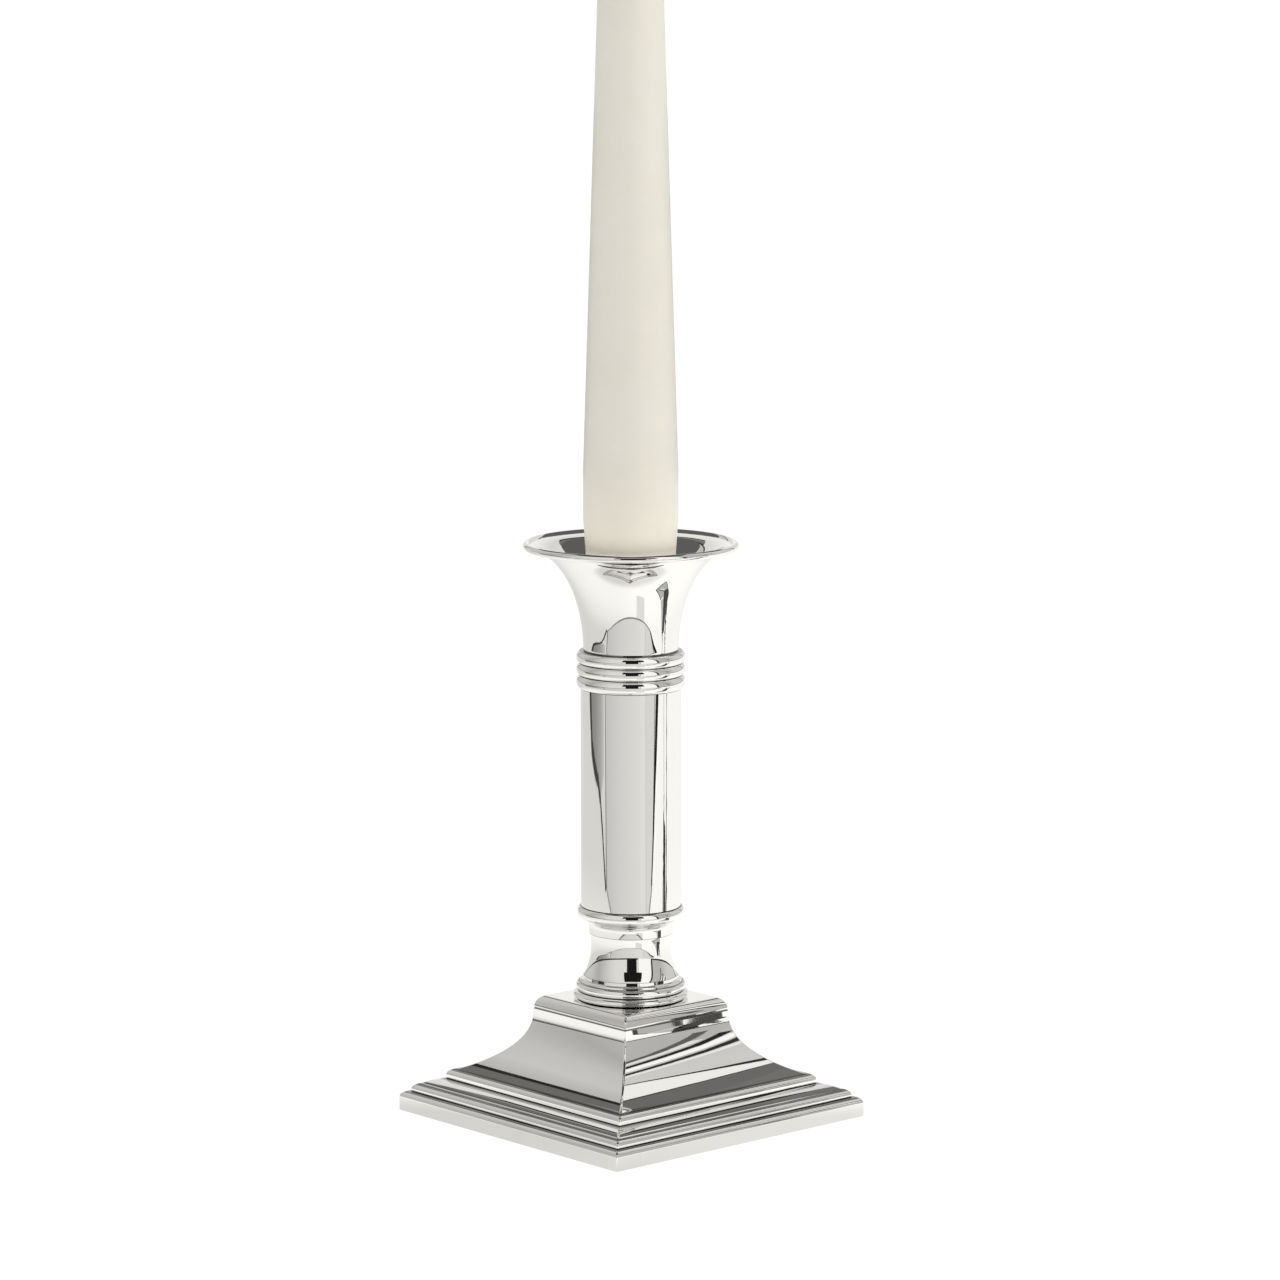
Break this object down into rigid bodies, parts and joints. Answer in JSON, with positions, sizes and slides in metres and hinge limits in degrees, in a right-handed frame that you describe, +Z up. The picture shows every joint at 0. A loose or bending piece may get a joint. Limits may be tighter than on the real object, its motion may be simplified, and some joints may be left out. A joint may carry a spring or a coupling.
{
  "type": "candlestick",
  "caption": "Polished silver column candlestick with a stepped square base, waisted neck, reeded collar and flared sconce, holding a tapered dinner candle that lifts out.",
  "frame": {"origin": "centre of the felt underside, on the surface that the candlestick stands on", "axes": "+Z up along the stem; the sides of the square base lie along X and Y"},
  "size_m": [0.0828, 0.0828, 0.3747],
  "materials": {
    "silver": "mirror-polished silver plate",
    "steel": "plain zinc-plated steel",
    "brass": "machined brass",
    "loading": "rough cast iron loading",
    "baize": "dark green wool baize",
    "wax": "smooth ivory wax with a soft sheen",
    "wick": "waxed cotton braid"
  },
  "bodies": {
    "candlestick": {"felt_pad": "baize", "base_cover": "steel", "base_shell": "silver", "base_weight": "loading", "plate_washer": "steel", "lock_washer": "steel", "retaining_nut": "brass", "tie_rod": "steel", "foot_ring": "silver", "spool_neck": "silver", "column_ring": "silver", "column_tube": "silver", "reeded_collar": "silver", "sconce": "silver", "socket_boss": "brass", "candle_cup": "silver"},
    "candle": {"candle": "wax", "candle_wick": "wick"}
  },
  "joints": [
    {"name": "candle_lift", "type": "slide", "parent": "candlestick", "child": "candle", "axis": [0, 0, 1], "range_m": [0, 0.03]}
  ]
}
